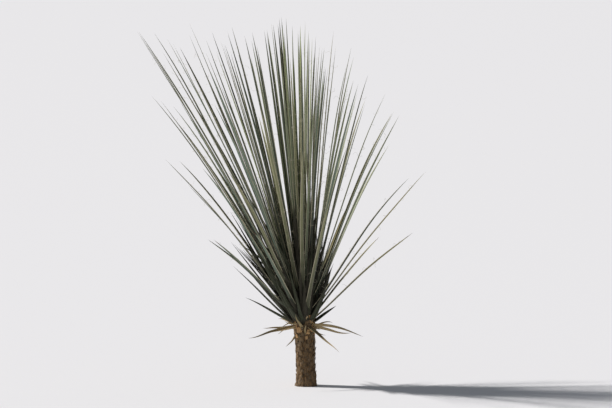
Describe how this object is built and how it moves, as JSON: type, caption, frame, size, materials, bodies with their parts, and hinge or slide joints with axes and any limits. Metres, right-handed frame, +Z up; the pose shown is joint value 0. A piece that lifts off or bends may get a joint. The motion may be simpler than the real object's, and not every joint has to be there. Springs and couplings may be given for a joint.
{
  "type": "yucca plant",
  "caption": "Small ground-rooted yucca: a short slender stem carrying an upright fan of long narrow stiff leaves.",
  "frame": {"origin": "middle of the flat cut under the stem, at ground level", "axes": "+Z up along the plant's height, -X to the side the crown leans to (left in the picture), +Y away from the viewer"},
  "size_m": [0.7405, 0.6503, 0.9479],
  "materials": {
    "bark": "dull brown fibrous bark with rings of old leaf scars",
    "leaf": "satin grey-green leaf with a pale margin",
    "young_leaf": "satin light green leaf with a pale margin",
    "dry_leaf": "matt straw-coloured dead leaf"
  },
  "bodies": {
    "root": {"dry_leaf_1": "dry_leaf", "dry_leaf_2": "dry_leaf", "dry_leaf_3": "dry_leaf", "dry_leaf_4": "dry_leaf", "dry_leaf_5": "dry_leaf", "dry_leaf_6": "dry_leaf", "dry_leaf_7": "dry_leaf", "dry_leaf_8": "dry_leaf", "heart_leaves": "young_leaf", "leaf_pair_11": "leaf", "leaf_pair_12": "leaf", "leaf_pair_13": "leaf", "leaf_pair_14": "leaf", "leaf_pair_15": "leaf", "leaf_pair_16": "leaf", "leaf_pair_17": "leaf", "leaf_pair_18": "leaf", "leaf_pair_19": "leaf", "leaf_pair_20": "leaf", "leaf_pair_21": "leaf", "leaf_pair_22": "leaf", "leaf_pair_23": "leaf", "leaf_pair_24": "leaf", "leaf_pair_25": "leaf", "leaf_trio_26": "leaf", "leaf_trio_27": "leaf", "leaf_trio_28": "leaf", "leaf_trio_29": "leaf", "leaf_trio_30": "leaf", "leaf_trio_31": "leaf", "leaf_trio_32": "leaf", "leaf_trio_33": "leaf", "leaf_trio_34": "leaf", "leaf_trio_35": "leaf", "leaf_trio_36": "leaf", "leaf_trio_37": "leaf", "leaf_trio_38": "leaf", "leaf_trio_39": "leaf", "leaf_trio_40": "leaf", "leaf_trio_41": "leaf", "leaf_trio_42": "leaf", "leaf_trio_43": "leaf", "leaf_trio_44": "leaf", "leaf_trio_45": "leaf", "lone_leaf_01": "leaf", "lone_leaf_02": "leaf", "lone_leaf_03": "leaf", "lone_leaf_04": "leaf", "lone_leaf_05": "leaf", "lone_leaf_06": "leaf", "lone_leaf_07": "leaf", "lone_leaf_08": "leaf", "lone_leaf_09": "leaf", "lone_leaf_10": "leaf", "trunk": "bark"}
  },
  "joints": []
}
